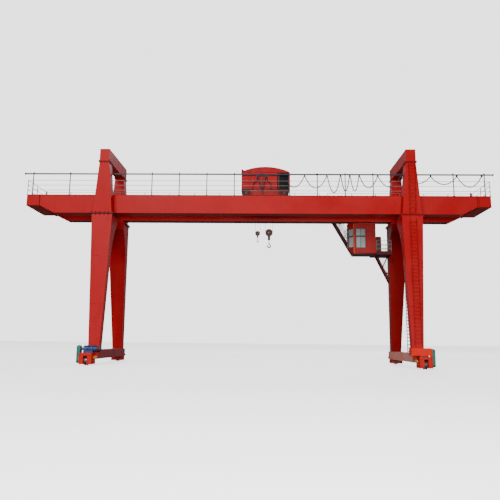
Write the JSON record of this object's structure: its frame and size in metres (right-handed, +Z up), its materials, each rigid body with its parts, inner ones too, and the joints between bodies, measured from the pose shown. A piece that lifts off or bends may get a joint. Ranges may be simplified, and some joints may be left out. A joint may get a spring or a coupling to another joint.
{
  "type": "gantry crane",
  "caption": "Red double-girder travelling gantry crane with two cantilevers, tapered legs, a housed trolley, two hook blocks, a driver's cab and cable loops along one girder.",
  "frame": {"origin": "on the ground rails' level, under the middle of the crane", "axes": "+X along the girders to the right, towards the cab's side; +Y along the ground rails, away from the side with the cable line; +Z up"},
  "size_m": [34.46, 8.4, 15.39],
  "materials": {
    "red_paint": "semi-gloss",
    "railing_paint": "satin",
    "dark_steel": "satin",
    "buffer_rubber": "matt",
    "motor_blue": "satin",
    "gear_green": "satin",
    "hood_orange": "satin",
    "cable_rubber": "matt",
    "cab_glass": "clear",
    "rope_wire": "satin",
    "block_paint": "satin"
  },
  "bodies": {
    "gantry": {"near_girder": "red_paint", "far_girder": "red_paint", "right_end_beam": "red_paint", "left_end_beam": "red_paint", "near_right_leg": "red_paint", "near_left_leg": "red_paint", "far_right_leg": "red_paint", "far_left_leg": "red_paint", "near_right_upper_leg": "red_paint", "near_left_upper_leg": "red_paint", "far_right_upper_leg": "red_paint", "far_left_upper_leg": "red_paint", "right_portal_beam": "red_paint", "left_portal_beam": "red_paint", "right_ground_beam": "red_paint", "left_ground_beam": "red_paint", "cab_body": "red_paint", "cab_door": "red_paint", "cab_platform": "red_paint", "platform_braces": "red_paint", "cab_stairs": "red_paint", "leg_ladders": "red_paint", "access_ladder": "red_paint", "near_railing": "railing_paint", "far_railing": "railing_paint", "end_railings": "railing_paint", "cab_railings": "railing_paint", "trolley_rails": "dark_steel", "festoon_posts": "dark_steel", "festoon_track": "dark_steel", "festoon_carriers": "dark_steel", "buffers": "buffer_rubber", "travel_motors": "motor_blue", "travel_reducers": "gear_green", "drive_hood": "hood_orange", "festoon_cable": "cable_rubber", "cab_glass": "cab_glass"},
    "near_right_travel_wheel": {"near_right_wheel": "dark_steel"},
    "near_left_travel_wheel": {"near_left_wheel": "dark_steel"},
    "far_right_travel_wheel": {"far_right_wheel": "dark_steel"},
    "far_left_travel_wheel": {"far_left_wheel": "dark_steel"},
    "trolley": {"trolley_frame": "dark_steel", "trolley_house": "red_paint", "trolley_roof": "red_paint", "trolley_lamp": "dark_steel", "tow_cables": "cable_rubber", "main_ropes": "rope_wire", "aux_ropes": "rope_wire"},
    "left_wheelset": {"left_trolley_wheels": "dark_steel"},
    "right_wheelset": {"right_trolley_wheels": "dark_steel"},
    "main_lifting_block": {"main_block": "block_paint", "main_hook": "dark_steel"},
    "aux_lifting_block": {"aux_block": "block_paint", "aux_hook": "dark_steel"}
  },
  "joints": [
    {"name": "near_right_roll", "type": "hinge", "parent": "gantry", "child": "near_right_travel_wheel", "pos_m": [11, -3.8, 0.3], "axis": [1, 0, 0], "continuous": true},
    {"name": "near_left_roll", "type": "hinge", "parent": "gantry", "child": "near_left_travel_wheel", "pos_m": [-11, -3.8, 0.3], "axis": [1, 0, 0], "continuous": true},
    {"name": "far_right_roll", "type": "hinge", "parent": "gantry", "child": "far_right_travel_wheel", "pos_m": [11, 3.8, 0.3], "axis": [1, 0, 0], "continuous": true},
    {"name": "far_left_roll", "type": "hinge", "parent": "gantry", "child": "far_left_travel_wheel", "pos_m": [-11, 3.8, 0.3], "axis": [1, 0, 0], "continuous": true},
    {"name": "trolley_travel", "type": "slide", "parent": "gantry", "child": "trolley", "axis": [1, 0, 0], "range_m": [-14.54, 13.25], "deforming": ["festoon_cable", "festoon_carriers"]},
    {"name": "left_wheelset_roll", "type": "hinge", "parent": "trolley", "child": "left_wheelset", "pos_m": [-0.755, 0, 12.4153], "axis": [0, 1, 0], "range_deg": [-4800, 4400]},
    {"name": "right_wheelset_roll", "type": "hinge", "parent": "trolley", "child": "right_wheelset", "pos_m": [2.045, 0, 12.4153], "axis": [0, 1, 0], "range_deg": [-4800, 4400]},
    {"name": "main_hoist", "type": "slide", "parent": "trolley", "child": "main_lifting_block", "axis": [0, 0, 1], "range_m": [-8.1, 0.5], "deforming": ["main_ropes"]},
    {"name": "aux_hoist", "type": "slide", "parent": "trolley", "child": "aux_lifting_block", "axis": [0, 0, 1], "range_m": [-8.5, 0.5], "deforming": ["aux_ropes"]}
  ],
  "couplings": [
    {"joint": "left_wheelset_roll", "follows": "trolley_travel", "rad_per_m": 5.7143},
    {"joint": "right_wheelset_roll", "follows": "trolley_travel", "rad_per_m": 5.7143}
  ]
}
